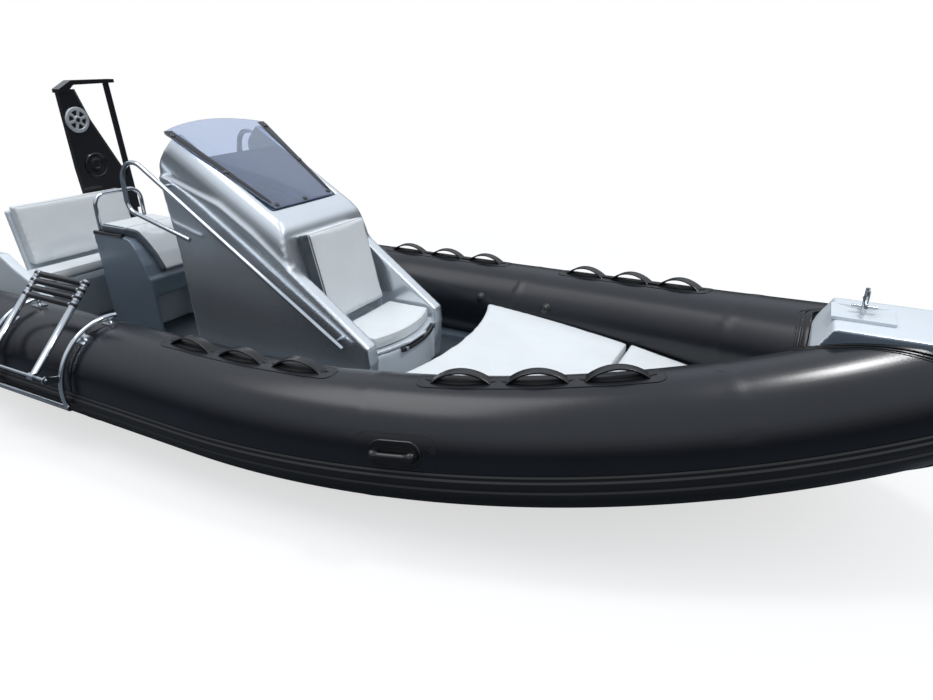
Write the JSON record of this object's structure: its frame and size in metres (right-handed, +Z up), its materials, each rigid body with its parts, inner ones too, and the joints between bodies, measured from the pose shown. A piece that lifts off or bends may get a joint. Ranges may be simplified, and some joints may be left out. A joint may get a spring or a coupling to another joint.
{
  "type": "rigid inflatable boat",
  "caption": "Rigid inflatable boat with a moulded deep-V hull, steering console, jockey seat, stern bench, mast and a folding telescopic boarding ladder over its side.",
  "frame": {"origin": "on the centreline at the waterline, below the transom's aft face", "axes": "+X to the bow, +Y to port, +Z up"},
  "size_m": [5.8, 2.541, 1.97],
  "materials": {
    "tube_fabric": "satin",
    "rubber": "matte",
    "upholstery": "matte",
    "stainless": "polished",
    "black_plastic": "gloss",
    "speaker_trim": "satin",
    "smoked_screen": "gloss",
    "deck": "matte",
    "gelcoat": "gloss"
  },
  "bodies": {
    "boat": {"hull": "gelcoat", "sole": "deck", "transom": "gelcoat", "tube_starboard": "tube_fabric", "tube_port": "tube_fabric", "strake_starboard": "rubber", "strake_port": "rubber", "grabs_aft_starboard": "rubber", "grabs_fore_starboard": "rubber", "grabs_aft_port": "rubber", "grabs_fore_port": "rubber", "carry_handles": "rubber", "valves": "rubber", "bow_nose": "gelcoat", "bow_post": "stainless", "bow_locker": "gelcoat", "bow_cushion_aft": "upholstery", "bow_cushion_fore": "upholstery", "console": "gelcoat", "dash": "black_plastic", "windscreen": "smoked_screen", "rail_starboard": "stainless", "rail_port": "stainless", "front_backrest": "upholstery", "throttle": "stainless", "helm_pod": "gelcoat", "helm_cushion": "upholstery", "helm_hoop": "stainless", "bench_base": "gelcoat", "bench_cushion": "upholstery", "bench_panel": "gelcoat", "bench_backrest": "upholstery", "mast": "black_plastic", "speakers": "speaker_trim", "ladder_frame": "stainless", "lifting_eyes": "stainless"},
    "steering": {"steering_wheel": "black_plastic"},
    "front_seat": {"front_lid": "gelcoat", "front_cushion": "upholstery"},
    "stiles": {"ladder_stiles": "stainless"},
    "upper": {"ladder_upper": "stainless"},
    "middle": {"ladder_middle": "stainless"},
    "lower": {"ladder_lower": "stainless"}
  },
  "joints": [
    {"name": "steering", "type": "hinge", "parent": "boat", "child": "steering", "pos_m": [1.5, 0, 1.01], "axis": [-0.866, 0, 0.5], "range_deg": [-540, 540]},
    {"name": "front_lid", "type": "hinge", "parent": "boat", "child": "front_seat", "pos_m": [2.922, 0, 0.3703], "axis": [0, 1, 0], "range_deg": [0, 80]},
    {"name": "ladder_swing", "type": "hinge", "parent": "boat", "child": "stiles", "pos_m": [1.4, -1.29971, 0.39171], "axis": [1, 0, 0], "range_deg": [0, 215]},
    {"name": "ladder_upper_slide", "type": "slide", "parent": "stiles", "child": "upper", "axis": [0, 0.7071, 0.7071], "range_m": [0, 0.23]},
    {"name": "ladder_middle_slide", "type": "slide", "parent": "upper", "child": "middle", "axis": [0, 0.7071, 0.7071], "range_m": [0, 0.23]},
    {"name": "ladder_lower_slide", "type": "slide", "parent": "middle", "child": "lower", "axis": [0, 0.7071, 0.7071], "range_m": [0, 0.23]}
  ],
  "couplings": [
    {"joint": "ladder_middle_slide", "follows": "ladder_upper_slide", "ratio": 1},
    {"joint": "ladder_lower_slide", "follows": "ladder_upper_slide", "ratio": 1}
  ]
}
